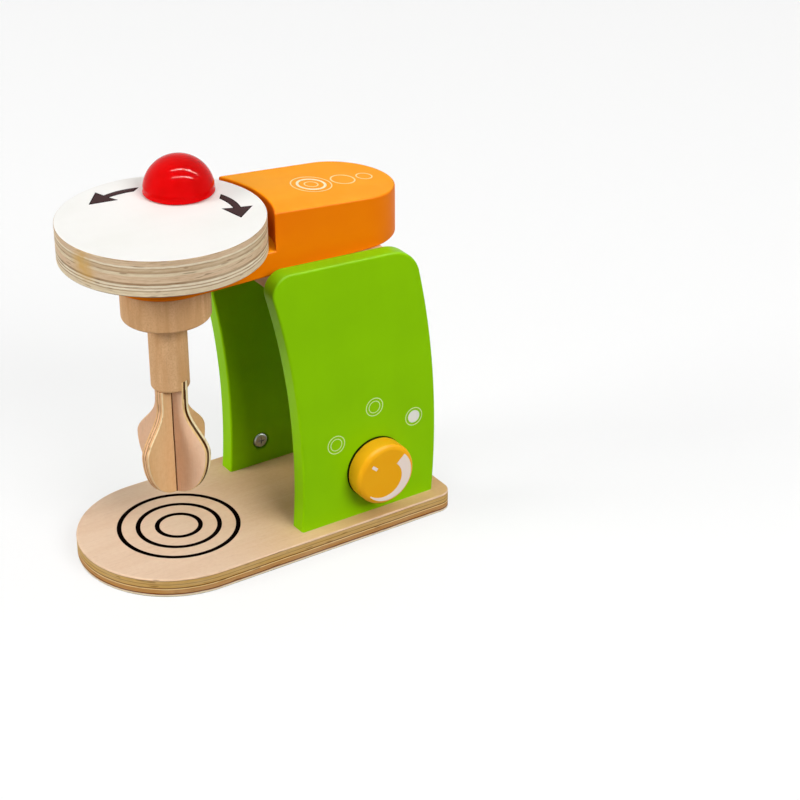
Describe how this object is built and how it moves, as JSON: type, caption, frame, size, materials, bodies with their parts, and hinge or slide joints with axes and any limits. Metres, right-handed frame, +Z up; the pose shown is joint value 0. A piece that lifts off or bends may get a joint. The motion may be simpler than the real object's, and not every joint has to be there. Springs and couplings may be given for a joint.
{
  "type": "toy stand mixer",
  "caption": "Wooden pretend-play stand mixer: a crank disc on a tilting head turns a crossed-blade beater over a base board, with a turning dial on one side.",
  "frame": {"origin": "centre of the base board's underside", "axes": "+X runs from the beater end to the back, +Y away from the dial's side, +Z up; millimetre source, metres here"},
  "size_m": [0.229, 0.134, 0.2435],
  "materials": {
    "natural_plywood": "clear matt lacquer over pale plywood",
    "solid_wood": "clear matt lacquer over pale solid wood",
    "green_paint": "satin green paint on wood",
    "orange_paint": "satin orange paint on wood",
    "white_topped_plywood": "satin white paint on top, bare plies on the rim",
    "red_lacquer": "glossy red lacquer on turned wood",
    "yellow_paint": "satin yellow-orange paint on turned wood",
    "steel": "zinc-plated steel",
    "felt": "pressed dark felt"
  },
  "bodies": {
    "root": {"base_board": "natural_plywood", "dial_panel": "green_paint", "peg_panel": "green_paint", "base_screws": "steel", "base_dowels": "solid_wood", "bridge_block": "solid_wood", "bridge_dowels": "solid_wood", "hinge_fixed_leaf": "steel", "hinge_pin": "steel", "hinge_fixed_screws": "steel", "dial_washer": "felt", "dial_screw_washer": "steel", "side_peg": "solid_wood", "side_peg_screw": "steel"},
    "head": {"head": "orange_paint", "hinge_moving_leaf": "steel", "hinge_moving_screws": "steel", "disc_washer": "felt", "hub_washer": "felt"},
    "spinner": {"disc": "white_topped_plywood", "axle": "solid_wood", "hub": "solid_wood", "beater_shaft": "solid_wood", "beater_blade_a": "natural_plywood", "beater_blade_b": "natural_plywood", "crank_knob_washer": "felt", "crank_screw_washer": "steel"},
    "knob": {"crank_knob": "red_lacquer", "crank_knob_screw": "steel"},
    "dial": {"dial": "yellow_paint", "dial_screw": "steel"}
  },
  "joints": [
    {"name": "head_tilt", "type": "hinge", "parent": "root", "child": "head", "pos_m": [0.0821, 0, 0.1788], "axis": [0, 1, 0], "range_deg": [0, 100]},
    {"name": "beater_spin", "type": "hinge", "parent": "head", "child": "spinner", "pos_m": [-0.0511, 0, 0.19], "axis": [0, 0, 1], "continuous": true},
    {"name": "crank_knob_spin", "type": "hinge", "parent": "spinner", "child": "knob", "pos_m": [-0.0252, 0.02572, 0.2205], "axis": [0, 0, 1], "continuous": true},
    {"name": "dial_turn", "type": "hinge", "parent": "root", "child": "dial", "pos_m": [0.0611, -0.0515, 0.0432], "axis": [0, -1, 0], "continuous": true}
  ]
}
